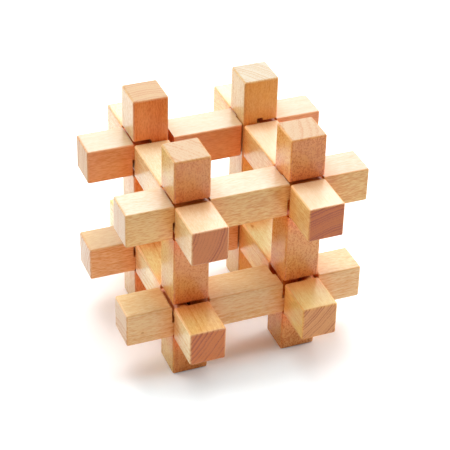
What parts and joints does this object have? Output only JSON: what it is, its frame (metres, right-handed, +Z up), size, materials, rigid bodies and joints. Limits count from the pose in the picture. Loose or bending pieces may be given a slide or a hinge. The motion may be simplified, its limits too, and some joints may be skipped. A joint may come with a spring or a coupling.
{
  "type": "wooden cage burr puzzle",
  "caption": "Interlocking wooden cage burr puzzle of square sticks, with quarter-turn key bars that unlock it.",
  "frame": {"origin": "on the ground, under the middle of the cage", "axes": "+Z up along the posts, crossbars along X, key bars along Y with the front at -Y"},
  "size_m": [0.1018, 0.1018, 0.1017],
  "materials": {
    "crossbar_wood": "satin, fine sanded pale hardwood",
    "post_wood": "satin, fine sanded pale hardwood, a little redder",
    "key_bar_wood": "satin, fine sanded pale hardwood"
  },
  "bodies": {
    "frame": {"post_left_front": "post_wood", "post_left_back": "post_wood", "post_right_front": "post_wood", "post_right_back": "post_wood", "crossbar_front_bottom": "crossbar_wood", "crossbar_front_top": "crossbar_wood", "crossbar_back_bottom": "crossbar_wood", "crossbar_back_top": "crossbar_wood"},
    "key_bar_left_bottom": {"key_bar_left_bottom": "key_bar_wood"},
    "key_bar_left_top": {"key_bar_left_top": "key_bar_wood"},
    "key_bar_right_bottom": {"key_bar_right_bottom": "key_bar_wood"},
    "key_bar_right_top": {"key_bar_right_top": "key_bar_wood"}
  },
  "joints": [
    {"name": "left_bottom_key_turn", "type": "hinge", "parent": "frame", "child": "key_bar_left_bottom", "pos_m": [-0.0276, 0, 0.03075], "axis": [0, -1, 0], "range_deg": [0, 90]},
    {"name": "left_top_key_turn", "type": "hinge", "parent": "frame", "child": "key_bar_left_top", "pos_m": [-0.0276, 0, 0.07095], "axis": [0, 1, 0], "range_deg": [0, 90]},
    {"name": "right_bottom_key_turn", "type": "hinge", "parent": "frame", "child": "key_bar_right_bottom", "pos_m": [0.0276, 0, 0.03075], "axis": [0, 1, 0], "range_deg": [0, 90]},
    {"name": "right_top_key_turn", "type": "hinge", "parent": "frame", "child": "key_bar_right_top", "pos_m": [0.0276, 0, 0.07095], "axis": [0, -1, 0], "range_deg": [0, 90]}
  ]
}
